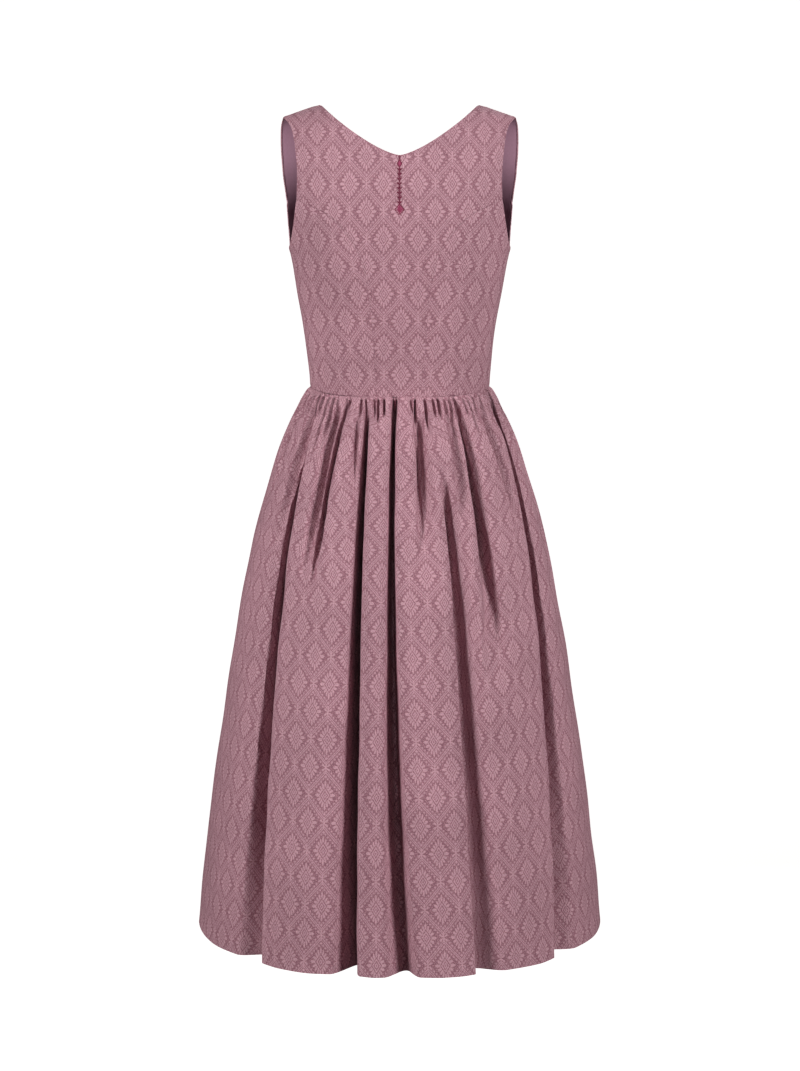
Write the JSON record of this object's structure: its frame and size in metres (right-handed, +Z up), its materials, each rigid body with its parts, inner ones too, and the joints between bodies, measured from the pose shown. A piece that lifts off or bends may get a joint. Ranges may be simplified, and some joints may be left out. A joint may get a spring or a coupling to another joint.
{
  "type": "dirndl dress",
  "caption": "Sleeveless midi dirndl dress in worn form, with a fitted princess-seamed bodice, V back neckline and full gathered skirt.",
  "frame": {"origin": "midway between the two shoulder seams, where the wearer's shoulders hold the dress", "axes": "+Z up along the wearer's body, -Y the back of the dress (the side in the picture), +X the side seen on the right from behind"},
  "size_m": [0.574, 0.6064, 1.1488],
  "materials": {
    "jacquard": "tone-on-tone mauve-pink jacquard with a lattice of lozenges, soft sheen",
    "lining": "smooth plain mauve lining",
    "hook_metal": "nickel-plated wire"
  },
  "bodies": {
    "root": {"back_centre": "jacquard", "back_side_left": "jacquard", "back_side_right": "jacquard", "front_centre_left": "jacquard", "front_centre_right": "jacquard", "front_side_left": "jacquard", "front_side_right": "jacquard", "skirt_back": "jacquard", "skirt_front_left": "jacquard", "skirt_front_right": "jacquard", "lining_back_centre": "lining", "lining_back_side_left": "lining", "lining_back_side_right": "lining", "lining_front_centre_left": "lining", "lining_front_centre_right": "lining", "lining_front_side_left": "lining", "lining_front_side_right": "lining", "hook_1": "hook_metal", "hook_2": "hook_metal", "hook_3": "hook_metal", "hook_4": "hook_metal", "hook_5": "hook_metal", "hook_6": "hook_metal", "hook_7": "hook_metal"}
  },
  "joints": []
}
